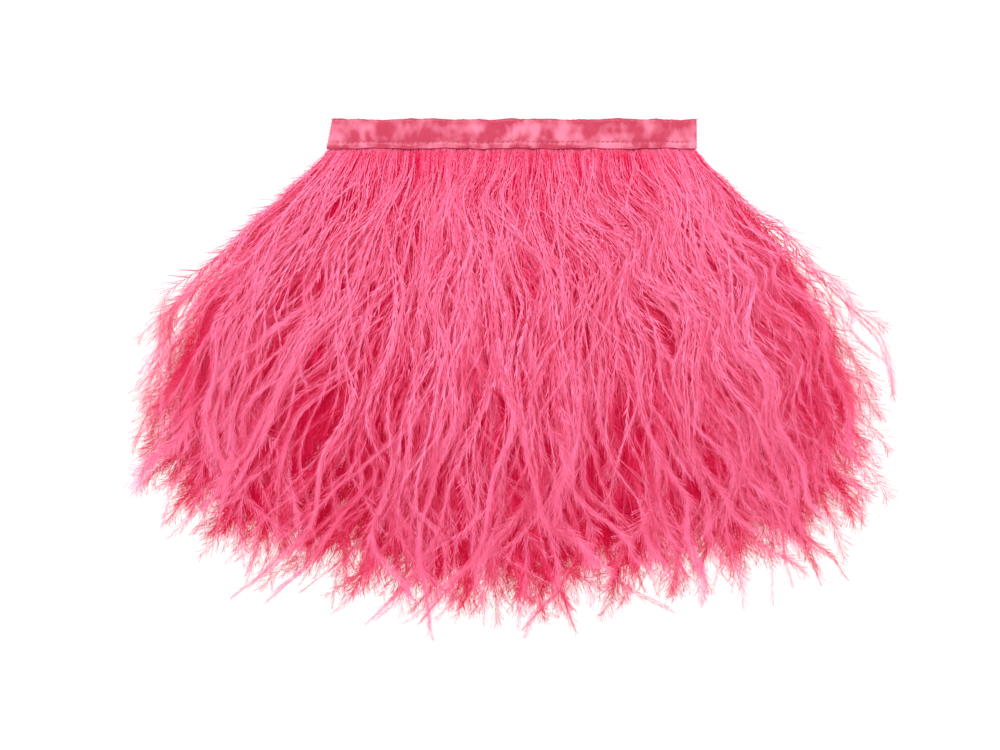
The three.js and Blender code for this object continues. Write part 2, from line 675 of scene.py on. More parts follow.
    def fray(self, material: bpy.types.Material) -> bpy.types.Object:
        """The loose yarns at the ribbon's two cut ends."""
        shape = bmesh.new()
        rng = np.random.default_rng(self.seed + 9)
        inside, behind = self.yarn_root
        thick, thin = self.yarn_radius
        for side in (-1, 1):
            for number in range(self.yarns_per_end):
                z = self.low.z + self.height * (number + 0.5) / self.yarns_per_end
                end_x = side * self.length / 2 + self.slanted(side / 2, z)
                start = Vector((end_x - side * inside, self.low.y + behind, z))
                reach = rng.uniform(*self.yarn_reach)
                if number in (0, self.yarns_per_end - 1) and side > 0:
                    reach = self.longest_yarn
                lean = Vector((side, rng.normal(0, 0.2), rng.normal(0.1, 0.35)))
                droop = Vector((0, 0, rng.normal(0, 0.5)))
                shares = (0.0, 0.2, 0.4, 0.6, 0.8, 1.0)
                route = [start + (lean * share + droop * share * share) * reach for share in shares]
                tube(shape, route, lambda share: thick + (thin - thick) * share, 5)
        return finished("frayed_yarns", shape, material)

    def dress(
        self, satin: bpy.types.Material, thread: bpy.types.Material, butts: bpy.types.Material
    ) -> None:
        """Builds the header's pieces and gives the hidden ones their finish.

        Args:
            satin: the ribbon's finish.
            thread: the finish of the stitches, the yarns and the stringing cords.
            butts: the finish of the flue butts inside the fold.
        """
        ribbon = self.ribbon(satin)
        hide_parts("satin_ribbon")
        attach(ribbon, "header")
        needle = self.stitches(Ply.FRONT, thread)
        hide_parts("needle_thread")
        bobbin = self.stitches(Ply.BACK, thread)
        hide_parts("bobbin_thread")
        yarns = self.fray(thread)
        for piece in (needle, bobbin, yarns):
            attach(piece, "header")
            LOG.info("%s: %d faces", piece.name, len(piece.data.polygons))
        for name in ("front_root_strip", "back_root_strip"):
            bpy.data.objects[name].data.materials[0] = butts
        for name in ("front_stringing_cord", "back_stringing_cord"):
            bpy.data.objects[name].data.materials[0] = thread


# ---------------------------------------------------------------------------------------------
# how the fringe lies


@dataclass(frozen=True)
class Eddy:
    """A place where the front ply has been brushed aside."""

    angle: float
    x: float
    width: float
    drop: float
    depth: float

    def turn(self, x: np.ndarray, drop: np.ndarray) -> np.ndarray:
        """The angle that it adds, which fades with the distance from its middle.

        Args:
            x: places along the header.
            drop: their distance below the seam.

        Returns:
            The added angles.
        """
        away = ((x - self.x) / self.width) ** 2 + ((drop - self.drop) / self.depth) ** 2
        return self.angle * np.exp(-away)


@dataclass(frozen=True)
class Comb:
    """Which way the flues lie: fanned out towards both ends, and straighter again further down."""

    fan_angle: float = math.radians(35)
    fan_width: float = 52 * MM
    fan_curve: float = 2.2
    share_at_seam: float = 0.55
    full_drop: float = 12 * MM
    settled_share: float = 0.8
    settled_drop: Span = (18 * MM, 80 * MM)
    settled_x: Span = (62 * MM, 102 * MM)
    edge_angle: float = math.radians(20)
    edge_seam: Span = (0.72, 1.0)
    edge_drop: Span = (3 * MM, 26 * MM)
    right_share: float = 0.9
    steepest: float = math.radians(52)
    eddies: tuple[Eddy, ...] = (
        Eddy(math.radians(30), 12 * MM, 32 * MM, 24 * MM, 11 * MM),
        Eddy(math.radians(-36), -6 * MM, 15 * MM, 11 * MM, 6 * MM),
    )

    def lean(self, ply: Ply, x: np.ndarray, drop: np.ndarray, seam: np.ndarray) -> np.ndarray:
        """The way the fringe is combed at a place.

        Args:
            ply: front or back.
            x: place along the header.
            drop: distance below the seam.
            seam: where the flue leaves the seam, from -1 to 1.

        Returns:
            The angle from straight down, positive towards +X.
        """
        out = 1 - np.exp(-((np.abs(x) / self.fan_width) ** self.fan_curve))
        out *= self.share_at_seam + (1 - self.share_at_seam) * smooth(drop, 0.0, self.full_drop)
        settled = smooth(drop, *self.settled_drop) * smooth(np.abs(x), *self.settled_x)
        out *= 1 - self.settled_share * settled
        edge = smooth(np.abs(seam), *self.edge_seam) * (1 - smooth(drop, *self.edge_drop))
        side = np.where(x > 0, self.right_share, -1.0)
        lean = side * (self.fan_angle * out + self.edge_angle * edge)
        if ply is Ply.FRONT:
            for eddy in self.eddies:
                lean += eddy.turn(x, drop)
        return lean


@dataclass(frozen=True)
class Swing:
    """Slow waves that carry neighbouring flues sideways together, each layer in its own way."""

    height: float = 0.65 * MM
    waves: int = 10
    across: Span = (16 * MM, 60 * MM)
    down: Span = (30 * MM, 85 * MM)
    layer_phase: float = 9.0
    full_drop: float = 22 * MM
    seed: int = 2103

    def sideways(self, x: np.ndarray, drop: np.ndarray, layer: np.ndarray) -> np.ndarray:
        """How far flues are carried sideways.

        Args:
            x: places along the header.
            drop: their distance below the seam.
            layer: the layer that each flue lies in; near layers swing nearly alike.

        Returns:
            The distances along X.
        """
        rng = np.random.default_rng(self.seed)
        total = np.zeros_like(x)
        for _ in range(self.waves):
            across = TURN / rng.uniform(*self.across) * rng.choice((-1, 1))
            down = TURN / rng.uniform(*self.down)
            phase = rng.uniform(0, TURN) + rng.uniform(-self.layer_phase, self.layer_phase) * layer
            total += self.height * np.sin(across * x + down * drop + phase)
        return total * smooth(drop, 0.0, self.full_drop)


@dataclass(frozen=True)
class Loft:
    """How thick a ply is from front to back at a drop below the seam."""

    thickness: float = 12 * MM
    wedge: float = 0.32
    inner_gap: float = 0.15 * MM
    flare: float = 3 * MM
    tip_thinning: float = 0.3
    tip_from: float = 0.6
    least_slope: float = 0.1
    least: Span = (0.05 * MM, 0.4 * MM)

    def inner(self, drop: np.ndarray, length: float) -> np.ndarray:
        """The ply's inner side.

        Args:
            drop: distance below the seam.
            length: the fringe's length.

        Returns:
            Its distance from the hinge plane.
        """
        return self.inner_gap + self.flare * np.clip(drop / length, 0, 1) ** 2

    def body(self, drop: np.ndarray, t: np.ndarray) -> np.ndarray:
        """The ply's thickness.

        Args:
            drop: distance below the seam.
            t: share of the flue's length.

        Returns:
            The distance from the ply's inner side to its face.
        """
        body = self.thickness * (1 - np.exp(-drop * self.wedge / self.thickness))
        return body * (1 - self.tip_thinning * smooth(t, self.tip_from, 1.0))

    def clear(self, depth: np.ndarray, drop: np.ndarray) -> np.ndarray:
        """Keeps a flue on its own ply's side of the hinge plane.

        Args:
            depth: the flue's distance from the plane.
            drop: distance below the seam.

        Returns:
            The distance, never too small.
        """
        low, high = self.least
        return np.maximum(depth, np.minimum(drop * self.least_slope, high) + low)


# ---------------------------------------------------------------------------------------------
# how the flues grow


@dataclass(frozen=True)
class Habit:
    """How many strands a lock has and how they vary.

    A strand is a bunch of flues or a loose flue. A wisp is a short loose flue on the ply's face. A
    plume is a long bunch whose flues keep together to the tip. Sizes are shares of a full length.
    """

    bunches: dict[Ply, int] = field(default_factory=lambda: {Ply.FRONT: 28, Ply.BACK: 14})
    loose: dict[Ply, int] = field(default_factory=lambda: {Ply.FRONT: 112, Ply.BACK: 92})
    flues_in_bunch: int = 4
    wisp_share: float = 0.2
    plume_share: float = 0.2
    cropped_share: float = 0.4

    # where a bunch leaves its stretch of the seam, and how deep in the ply a strand lies
    bunch_seam: Span = (0.2, 0.8)
    bunch_depth: Span = (0.3, 1.0)
    wisp_depth: Span = (0.8, 1.05)

    # how long the strands are
    cropped_size: Span = (0.5, 0.97)
    usual_size: float = 0.97
    usual_spread: float = 0.05
    wisp_size: Span = (0.25, 0.8)
    back_size: Span = (0.75, 1.0)
    plume_size: Span = (1.0, 1.14)
    size_limits: Span = (0.2, 1.14)
    inner_shortfall: float = 0.05
    inner_depth: Span = (0.4, 0.8)

    # how they stray from the comb: long bends, short crimps, a steady lean and a curled tip
    bend: Span = (0.05, 0.25)
    bend_beats: Span = (0.5, 1.6)
    crimp: Span = (0.08, 0.42)
    crimp_beats: Span = (2.2, 5.0)
    loose_crimp: float = 0.6
    stray: float = 0.12
    wisp_stray: float = 0.30
    straight_root: float = 0.1
    tip_from: float = 0.62
    bunch_curl: float = 0.45
    loose_curl: float = 0.55
    plume_curl: float = 0.8

    # how a bunch's flues lie side by side, and how far each wanders
    reach: Span = (0.78, 1.0)
    plume_reach: float = 0.45
    pitch: Span = (0.7 * MM, 1.5 * MM)
    plume_pitch: float = 0.5 * MM
    pitch_spread: float = 0.2
    bunch_widths: tuple[float, float, float] = (0.3, 1.2, 0.3)
    widening: Span = (0.0, 0.12)
    closing: Span = (0.55, 0.85)
    wander: Span = (0.1 * MM, 0.9 * MM)
    wander_beats: Span = (0.9, 2.6)
    bunch_wander: float = 0.35
    wander_from: Span = (0.1, 0.5)
    slope_spread: float = 0.35
    staggered: Span = (0.05, 0.2)

    # how they rise and fall in the ply's thickness
    ripple: Span = (0.2 * MM, 1.3 * MM)
    ripple_beats: Span = (0.7, 2.0)
    drift: Span = (0.0, 1.8 * MM)
    drift_beats: Span = (0.4, 0.9)
    rise_from: Span = (0.08, 0.5)
    flick: float = 2.2 * MM
    flick_from: float = 0.6
    flick_curve: float = 1.5


@dataclass(frozen=True)
class Shading:
    """How pale a flue is, from 0 deep in the ply to 1 on its face, and how fluffy. Most of the
    paleness is painted shade: flues are darker deeper in the ply, at the root under the header and
    towards the tip.
    """

    brightest: float = 1.1
    pale_from: Span = (0.62, 1.05)
    strand_spread: float = 0.12
    flue_spread: float = 0.08
    edge_tone: float = 0.5
    edge_seam: Span = (0.84, 1.0)
    tip_fall: float = 0.2
    root_fall: float = 0.45
    root_share: float = 0.3
    wave: float = 0.14
    wave_beats: Span = (20, 50)
    fluffiest: float = 1.7
    face_fluff: float = 0.85
    face_depth: Span = (0.5, 0.9)

    def tone(self, depth: np.ndarray, seam: np.ndarray) -> np.ndarray:
        """The paleness before it varies along the flue: painted shade that darkens flues deeper in the
        ply, with flues paler towards the ends of the seam.

        Args:
            depth: how deep in the ply the points lie, from 0 inside to 1 on the face.
            seam: where their flues leave the seam, from -1 to 1.

        Returns:
            The tone, by flue and point.
        """
        # Painted shade: flues deeper in the ply are darker.
        pale = self.brightest * smooth(depth, *self.pale_from)
        return pale + self.edge_tone * smooth(np.abs(seam), *self.edge_seam)[:, None]

    def along(self, share: np.ndarray, beat: np.ndarray, phase: np.ndarray) -> np.ndarray:
        """What a place along the flue adds to its paleness: a random wave, less a painted shadow at
        the root under the header and a painted shade that deepens towards the tip.

        Args:
            share: the places, as shares of the flue's length.
            beat: how fast its tone rises and falls.
            phase: where it starts.

        Returns:
            The added tone.
        """
        # Painted shadow under the header at the root, and painted shade deepening towards the tip.
        falls = self.tip_fall * share + self.root_fall * (1 - smooth(share, 0.0, self.root_share))
        return self.wave * np.sin(beat * share + phase) - falls

    def fluff(self, depth: np.ndarray) -> np.ndarray:
        """How far a flue's barbules stand out, as a factor, by its depth in the ply."""
        return self.fluffiest - self.face_fluff * smooth(depth, *self.face_depth)


@dataclass(frozen=True)
class Barbing:
    """The sizes of a flue's shaft and barbules."""

    rings: int = 14
    shaft_radius: float = 0.13 * MM
    tip_radius: float = 0.05 * MM
    slimming: Span = (0.25, 0.85)
    thickness: Span = (0.85, 1.15)
    twist: float = 2.2

    pairs: int = 200
    first: float = 0.004
    tip_crowding: float = 2.2
    crowded: Span = (0.5, 0.8)
    base: float = 0.75
    end: float = 0.25 * MM
    root_length: float = 1.5 * MM
    longer: float = 2.7 * MM
    lengthening: Span = (0.03, 0.5)
    tip_shortening: float = 0.65
    shortening: Span = (0.93, 1.0)
    length_spread: Span = (0.6, 1.25)
    lean: Span = (0.05, 0.36)
    fluff_lean: Span = (0.35, 0.85)
    tip_lean: float = 0.2
    leaning: Span = (0.7, 0.9)
    fold: float = 0.7
    splayed_fluff: float = 1.3
    splayed_from: float = 0.75

    def marks(self) -> np.ndarray:
        """Where the barbules stand along a flue, closer together towards the tip."""
        fine = np.linspace(self.first, 1.0, 2 * self.pairs)
        crowd = np.cumsum(1 + self.tip_crowding * smooth(fine, *self.crowded))
        return np.interp(np.linspace(crowd[0], crowd[-1], self.pairs + 1), crowd, fine)

    def lengths(self, share: np.ndarray) -> np.ndarray:
        """How long the barbules are at shares of the flue's length."""
        long = self.root_length + self.longer * smooth(share, *self.lengthening)
        return long * (1 - self.tip_shortening * smooth(share, *self.shortening))


def sampled(values: np.ndarray, shares: np.ndarray) -> np.ndarray:
    """Reads what every flue has at shares of its length.

    Args:
        values: a row for each flue, with a number or a point for each of its guide points.
        shares: from 0 to 1, either the same for all flues or a row for each.

    Returns:
        A row for each flue, with a number or a point for each share.
    """
    at = np.broadcast_to(shares, (len(values), shares.shape[-1])) * (values.shape[1] - 1)
    low = np.minimum(at.astype(int), values.shape[1] - 2)
    part = (at - low).reshape(low.shape + (1,) * (values.ndim - 2))
    row = np.arange(len(values))[:, None]
    return values[row, low] * (1 - part) + values[row, low + 1] * part


@dataclass
class Strands:
    """The strands of one lock, bunches first. Each array has one value for each strand."""

    bunched: np.ndarray
    wisp: np.ndarray
    plume: np.ndarray
    seam: np.ndarray
    depth: np.ndarray
    length: np.ndarray

    def __len__(self) -> int:
        """How many strands there are."""
        return len(self.seam)


@dataclass
class Patch:
    """A part of a lock's surface. Every array but the triangles has one row for each point."""

    points: np.ndarray
    triangles: np.ndarray
    flue: np.ndarray
    share: np.ndarray
    tone: np.ndarray
    barbule: np.ndarray
    lane: np.ndarray

    def joined(self, other: "Patch") -> "Patch":
        """Puts another patch after this one.

        Args:
            other: the patch that follows.

        Returns:
            Both as one, without the points that no triangle uses.
        """
        triangles = np.concatenate([self.triangles, other.triangles + len(self.points)])
        used, renumbered = np.unique(triangles, return_inverse=True)
        names = ("flue", "share", "tone", "barbule", "lane")
        rows = {name: np.concatenate([getattr(self, name), getattr(other, name)]) for name in names}
        return Patch(
            points=np.concatenate([self.points, other.points])[used],
            triangles=renumbered.reshape(-1, 3),
            **{name: values[used] for name, values in rows.items()},
        )


@dataclass(frozen=True)
class Rows:
    """How the flues lie in their UV map: a row for each, with u running from root to tip."""

    start: float = 0.02
    along: float = 0.93
    barbule: float = 0.02
    shaft_lane: float = 0.3
    barbule_lane: float = 0.4


ROWS = Rows()


@dataclass
class Flues:
    """The flues of one lock as centre lines, which the shafts and barbules are built on."""

    points: np.ndarray
    tone: np.ndarray
    fluff: np.ndarray
    barbing: Barbing
    shading: Shading
    rng: np.random.Generator
    roll: np.ndarray = field(init=False)
    twist: np.ndarray = field(init=False)

    def __post_init__(self) -> None:
        """Turns each flue about its own line."""
        self.roll = self.rng.uniform(0, TURN, len(self.points))
        self.twist = self.rng.normal(0, self.barbing.twist, len(self.points))

    def frames(self, shares: np.ndarray) -> tuple[np.ndarray, np.ndarray, np.ndarray]:
        """The flues' own directions.

        Args:
            shares: shares of the flues' length.

        Returns:
            Tangent, side and face direction, by flue and share.
        """
        step = 0.5 / (self.points.shape[1] - 1)
        ahead = sampled(self.points, np.minimum(shares + step, 1.0))
        ahead = ahead - sampled(self.points, np.maximum(shares - step, 0.0))
        tangent = ahead / np.linalg.norm(ahead, axis=2, keepdims=True)
        turn = (self.roll[:, None] + self.twist[:, None] * shares[None, :])[:, :, None]
        across = np.cos(turn) * np.array([1.0, 0, 0]) + np.sin(turn) * np.array([0, 1.0, 0])
        side = across - tangent * (across * tangent).sum(2, keepdims=True)
        side /= np.linalg.norm(side, axis=2, keepdims=True)
        return tangent, side, np.cross(tangent, side)

    def shafts(self) -> Patch:
        """Builds the shafts: three-sided, tapered and closed at both ends."""
        count, rings = len(self.points), self.barbing.rings
        shares = np.linspace(0.0, 1.0, rings)
        centre = sampled(self.points, shares)
        _, side, face = self.frames(shares)
        thick = self.rng.uniform(*self.barbing.thickness, count)[:, None, None]
        slim = smooth(shares, *self.barbing.slimming)[None, :, None]
        radius = (self.barbing.shaft_radius * (1 - slim) + self.barbing.tip_radius * slim) * thick
        angles = [TURN * corner / 3 for corner in range(3)]
        corners = [centre + radius * (math.cos(a) * side + math.sin(a) * face) for a in angles]
        flue = np.arange(count)[:, None, None]
        ring = np.arange(rings - 1)[None, :, None]
        corner = np.arange(3)[None, None, :]
        first = (flue * rings + ring) * 3
        a, b = first + corner, first + (corner + 1) % 3
        c, d = a + 3, b + 3
        walls = np.stack([np.stack([a, c, b], -1), np.stack([b, c, d], -1)], -2).reshape(-1, 3)
        root = np.arange(count)[:, None] * rings * 3
        caps = np.concatenate([root + [0, 1, 2], root + (rings - 1) * 3 + [0, 2, 1]])
        return Patch(
            points=np.stack(corners, axis=2).reshape(-1, 3),
            triangles=np.concatenate([walls, caps]),
            flue=np.repeat(np.arange(count), rings * 3),
            share=np.tile(np.repeat(shares, 3), count),
            tone=np.repeat(sampled(self.tone, shares), 3, axis=1).ravel(),
            barbule=np.zeros(count * rings * 3),
            lane=np.tile([-ROWS.shaft_lane, 0.0, ROWS.shaft_lane], count * rings),
        )

    def barbule_tips(self, hand: int, shares: np.ndarray, base: np.ndarray) -> np.ndarray:
        """Lays out the outer ends of the barbules on one side.

        Args:
            hand: -1 or 1, the side of the shaft.
            shares: where they stand along the flue.
            base: the points that they stand on.

        Returns:
            Two points for each barbule.
        """
        size = base.shape[:2]
        barbing, fluff, t = self.barbing, self.fluff[:, None], shares[None, :]
        tangent, side, face = self.frames(shares)
        reach = barbing.lengths(t) * self.rng.uniform(*barbing.length_spread, size) * fluff
        least, more = barbing.fluff_lean
        lean = self.rng.uniform(*barbing.lean, size) * (least + more * fluff)
        lean = lean * (1 + barbing.tip_lean * smooth(t, *barbing.leaning))
        fold = self.rng.normal(0.0, barbing.fold, size)
        out = hand * np.cos(fold)[:, :, None] * side + np.sin(fold)[:, :, None] * face
        tip = base + (reach * np.cos(lean))[:, :, None] * tangent
        tip = tip + (reach * np.sin(lean))[:, :, None] * out
        return np.stack([tip, tip + barbing.end * tangent], axis=2)

    def barbules(self) -> Patch:
        """Builds the barbules: one triangle each, a pair at every mark.

        Most are broad at the shaft and end in a point. On the inner flues and near the tips, every
        other one is splayed: a point at the shaft, and broad at its end.
        """
        count, pairs = len(self.points), self.barbing.pairs
        marks = self.barbing.marks()
        shares = marks[:-1]
        ends = shares + self.barbing.base * np.diff(marks)
        base, base_end = sampled(self.points, shares), sampled(self.points, ends)
        spine = np.stack([base, base_end], axis=2)
        tips = [self.barbule_tips(hand, shares, base) for hand in (-1, 1)]
        flue, pair = np.arange(count)[:, None], np.arange(pairs)[None, :]
        low = (flue * pairs + pair) * 6
        broad = self.fluff[:, None] > self.barbing.splayed_fluff
        broad = broad | (shares[None, :] > self.barbing.splayed_from)
        triangles = []
        for number in range(2):
            tip = low + 2 + 2 * number
            third = np.where(((pair + number) % 2 == 0) & broad, tip + 1, low + 1)
            order = [low, third, tip] if number else [third, low, tip]
            triangles.append(np.stack(order, -1).reshape(-1, 3))
        tone = [sampled(self.tone, shares), sampled(self.tone, ends)]
        lane = ROWS.barbule_lane
        return Patch(
            points=np.concatenate([spine, *tips], axis=2).reshape(-1, 3),
            triangles=np.concatenate(triangles),
            flue=np.repeat(np.arange(count), pairs * 6),
            share=np.tile(np.stack([shares, ends, *[shares] * 4], 1).ravel(), count),
            tone=np.stack([*tone, *[tone[0]] * 4], axis=2).ravel(),
            barbule=np.tile([0.0, 0.0, 1.0, 1.0, 1.0, 1.0], count * pairs),
            lane=np.tile([0.0, 0.0, -lane, -lane, lane, lane], count * pairs),
        )

    def mesh(self, name: str, material: bpy.types.Material) -> bpy.types.Object:
        """Builds the lock's mesh.

        Args:
            name: the object's name.
            material: its finish, which reads the attributes tone and barbule.

        Returns:
            The object, with a row of its UV map for each flue.
        """
        count = len(self.points)
        surface = self.shafts().joined(self.barbules())
        beat = self.rng.uniform(*self.shading.wave_beats, count)[surface.flue]
        phase = self.rng.uniform(0, TURN, count)[surface.flue]
        # Adds the random wave and the painted shadow and shade at the root and towards the tip.
        tone = surface.tone + self.shading.along(surface.share, beat, phase)
        piece = triangle_mesh(name, surface.points, surface.triangles, material)
        for label, values in (("tone", tone), ("barbule", surface.barbule)):
            store = piece.data.attributes.new(label, "FLOAT", "POINT")
            store.data.foreach_set("value", values.astype(np.float32))
        u = ROWS.start + ROWS.along * surface.share + ROWS.barbule * surface.barbule
        v = (surface.flue + 0.5 + surface.lane) / count
        layer = piece.data.uv_layers.new(name="OFBake")
        uv = np.stack([u, v], 1)[surface.triangles.ravel()]
        layer.uv.foreach_set("vector", uv.astype(np.float32).ravel())
        return piece


def triangle_mesh(
    name: str, points: np.ndarray, triangles: np.ndarray, material: bpy.types.Material
) -> bpy.types.Object:
    """Makes an object from points and triangles.

    Args:
        name: the object's name.
        points: one row of x, y and z for each vertex.
        triangles: three vertex numbers a row.
        material: its finish.

    Returns:
        The object.
    """
    mesh = bpy.data.meshes.new(name)
    mesh.vertices.add(len(points))
    mesh.vertices.foreach_set("co", points.astype(np.float32).ravel())
    mesh.loops.add(triangles.size)
    mesh.loops.foreach_set("vertex_index", triangles.astype(np.int32).ravel())
    mesh.polygons.add(len(triangles))
    mesh.polygons.foreach_set("loop_start", np.arange(0, triangles.size, 3, dtype=np.int32))
    mesh.update(calc_edges=True)
    mesh.shade_smooth()
    mesh.materials.append(material)
    piece = bpy.data.objects.new(name, mesh)
    bpy.context.collection.objects.link(piece)
    return piece


# ---------------------------------------------------------------------------------------------
# the fringe


@dataclass
class Fringe:
    """Two plies of strung ostrich flues, which hang from one hinge line in ten locks each."""

    columns: int = 10
    half_seam: float = 58.05 * MM
    hinge_y: float = -1.0 * MM
    hinge_z: float = -4.95 * MM
    root_rise: float = 0.7 * MM
    length: float = 151 * MM
    side_length: float = 120 * MM
    length_curve: float = 3.0
    side_limit: float = 124 * MM
    depth_limit: float = 17.5 * MM
    drop_limit: float = 164 * MM
    guide_points: int = 48
    seed: int = 2026
    comb: Comb = field(default_factory=Comb)
    swing: Swing = field(default_factory=Swing)
    loft: Loft = field(default_factory=Loft)
    habit: Habit = field(default_factory=Habit)
    shading: Shading = field(default_factory=Shading)
    barbing: Barbing = field(default_factory=Barbing)

    def flue_length(self, seam: np.ndarray) -> np.ndarray:
        """A full flue's length.

        Args:
            seam: places along the seam, from -1 to 1.

        Returns:
            The length at each place.
        """
        edge = np.clip(np.abs(seam), 0.0, 1.0) ** self.length_curve
        return self.length - (self.length - self.side_length) * edge

    def dress(self, material: bpy.types.Material) -> None:
        """Grows every lock in place of its plain solid."""
        for ply in Ply:
            for column in range(self.columns):
                lock = Lock(self, ply, column)
                piece = lock.flues().mesh(lock.name("lock_flues"), material)
                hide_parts(lock.name("lock"))
                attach(piece, lock.name("lock"))
                LOG.info("%s: %d faces", piece.name, len(piece.data.polygons))


@dataclass
class Lock:
    """The flues that leave the seam in one column of one ply."""

    fringe: Fringe
    ply: Ply
    column: int
    rng: np.random.Generator = field(init=False)
    t: np.ndarray = field(init=False)

    def __post_init__(self) -> None:
        """Gives the lock its own random numbers, and the shares at which its guides have points."""
        self.rng = np.random.default_rng([self.fringe.seed, self.column, self.ply.value + 1])
        self.t = np.linspace(0.0, 1.0, self.fringe.guide_points)

    def name(self, word: str) -> str:
        """The lock's number with its ply and a word before it."""
        return f"{self.ply.word}_{word}_{self.column + 1:02d}"

    def waves(self, count: int, height: Span, beats: Span, t: np.ndarray) -> np.ndarray:
        """One sine wave for each of count flues.

        Args:
            count: how many.
            height: least and greatest height.
            beats: least and greatest number of waves in a flue's length.
            t: places along a flue.

        Returns:
            The waves, indexed by flue and place.
        """
        high = self.rng.uniform(*height, count)[:, None]
        beat = self.rng.uniform(*beats, count)[:, None]
        phase = self.rng.uniform(0, TURN, count)[:, None]
        return high * np.sin(TURN * beat * t + phase)

    def strands(self) -> Strands:
        """Deals the strands out over the column, the depth of the ply and the lengths there are."""
        rng, habit = self.rng, self.fringe.habit
        bunches = habit.bunches[self.ply]
        count = bunches + habit.loose[self.ply]
        bunched = np.arange(count) < bunches
        wisp = ~bunched & (rng.random(count) < habit.wisp_share)
        place = (rng.permutation(count) + rng.random(count)) / count
        place[:bunches] = (np.arange(bunches) + rng.uniform(*habit.bunch_seam, bunches)) / bunches
        seam = -1 + 2 * (self.column + place) / self.fringe.columns
        bunch_depth = rng.uniform(*habit.bunch_depth, count)
        depth = np.where(bunched, bunch_depth, rng.uniform(0.0, 1.0, count))
        depth = np.where(wisp, rng.uniform(*habit.wisp_depth, count), depth)
        cropped = rng.random(count) < habit.cropped_share
        cropped_size = rng.uniform(*habit.cropped_size, count)
        usual_size = rng.normal(habit.usual_size, habit.usual_spread, count)
        size = np.where(cropped, cropped_size, usual_size)
        size = np.where(wisp, rng.uniform(*habit.wisp_size, count), size)
        if self.ply is Ply.BACK:
            size = np.maximum(size, rng.uniform(*habit.back_size, count))
        plume = bunched & (rng.random(count) < habit.plume_share)
        size = np.where(plume, rng.uniform(*habit.plume_size, count), size)
        size = size * (1 - habit.inner_shortfall * (1 - smooth(depth, *habit.inner_depth)))
        length = self.fringe.flue_length(seam) * np.clip(size, *habit.size_limits)
        return Strands(bunched, wisp, plume, seam, depth, length)

    def strays(self, strands: Strands) -> np.ndarray:
        """How far each strand strays from the comb.

        Args:
            strands: the lock's strands.

        Returns:
            The angles, by strand and place along it.
        """
        habit, count = self.fringe.habit, len(strands)
        beat = (strands.length / self.fringe.length)[:, None] * self.t
        bend = self.waves(count, habit.bend, habit.bend_beats, self.t)
        crimp = self.waves(count, habit.crimp, habit.crimp_beats, beat)
        bend += crimp * np.where(strands.bunched, 1.0, habit.loose_crimp)[:, None]
        stray = np.where(strands.wisp, habit.wisp_stray, habit.stray)
        bend += self.rng.normal(0, stray, count)[:, None]
        bend *= smooth(beat, 0.0, habit.straight_root)
        spread = np.where(strands.bunched, habit.bunch_curl, habit.loose_curl)
        curl = self.rng.normal(0, np.where(strands.plume, habit.plume_curl, spread), count)
        return bend + curl[:, None] * smooth(self.t, habit.tip_from, 1.0)

    def combed(self, strands: Strands) -> tuple[np.ndarray, np.ndarray, np.ndarray]:
        """Combs every strand down from the seam, step by step.

        Args:
            strands: the lock's strands.

        Returns:
            Place along the header, drop below the seam and heading, by strand and place along it.
        """
        fringe, strays = self.fringe, self.strays(strands)
        x, drop, heading = np.zeros((3, len(strands), fringe.guide_points))
        x[:, 0] = strands.seam * fringe.half_seam
        stride = strands.length / (fringe.guide_points - 1)
        for step in range(fringe.guide_points):
            here, low = x[:, step], drop[:, step]
            lean = fringe.comb.lean(self.ply, here, low, strands.seam) + strays[:, step]
            heading[:, step] = held_within(lean, fringe.comb.steepest)
            if step + 1 < fringe.guide_points:
                x[:, step + 1] = here + stride * np.sin(heading[:, step])
                drop[:, step + 1] = low + stride * np.cos(heading[:, step])
        return x, drop, heading

    def beside(self, strands: Strands, owner: np.ndarray) -> np.ndarray:
        """How far to the side of its strand each flue lies, at places along it.

        Args:
            strands: the lock's strands.
            owner: the number of each flue's strand.

        Returns:
            The distances, by flue and place along it.
        """
        rng, habit, t = self.rng, self.fringe.habit, self.t
        bunched, count = strands.bunched[owner], len(owner)
        bunches = int(strands.bunched.sum())
        number = np.tile(np.arange(habit.flues_in_bunch), bunches)
        number = np.concatenate([number, np.zeros(count - len(number))])
        number = number - (habit.flues_in_bunch - 1) / 2 + rng.normal(0, habit.pitch_spread, count)
        pitch = rng.uniform(*habit.pitch, len(strands))
        pitch = np.where(strands.plume, habit.plume_pitch, pitch)[owner] * bunched
        start, middle, tip = habit.bunch_widths
        width = start + (middle - start) * smooth(t, *habit.widening)
        width = width - (middle - tip) * smooth(t, *habit.closing)
        free = np.where(bunched, habit.bunch_wander, 1.0)[:, None] * smooth(t, *habit.wander_from)
        wander = self.waves(count, habit.wander, habit.wander_beats, t)
        return (number * pitch)[:, None] * width + wander * free

    def flues(self) -> Flues:
        """Lays every flue beside its strand and in its own depth of the ply."""
        rng, fringe, habit, t = self.rng, self.fringe, self.fringe.habit, self.t
        strands = self.strands()
        course = self.combed(strands)
        bunches = int(strands.bunched.sum())
        in_bunches = np.repeat(np.arange(bunches), habit.flues_in_bunch)
        owner = np.concatenate([in_bunches, np.arange(bunches, len(strands))])
        count, depth = len(owner), strands.depth[owner]
        reach = rng.uniform(*habit.reach, count)
        longer = 1 - habit.plume_reach * (1 - reach)
        reach = np.where(strands.plume[owner], longer, reach)
        share = np.where(strands.bunched[owner], reach, 1.0)[:, None] * t
        x, drop, heading = (sampled(values[owner], share) for values in course)
        off = self.beside(strands, owner)
        lift = off * rng.normal(0, habit.slope_spread, len(strands))[owner][:, None]
        layer = self.ply.value + depth[:, None]
        x = x + off * np.cos(heading) + fringe.swing.sideways(x, drop, layer)
        drop = drop - off * np.sin(heading) * smooth(t, *habit.staggered)

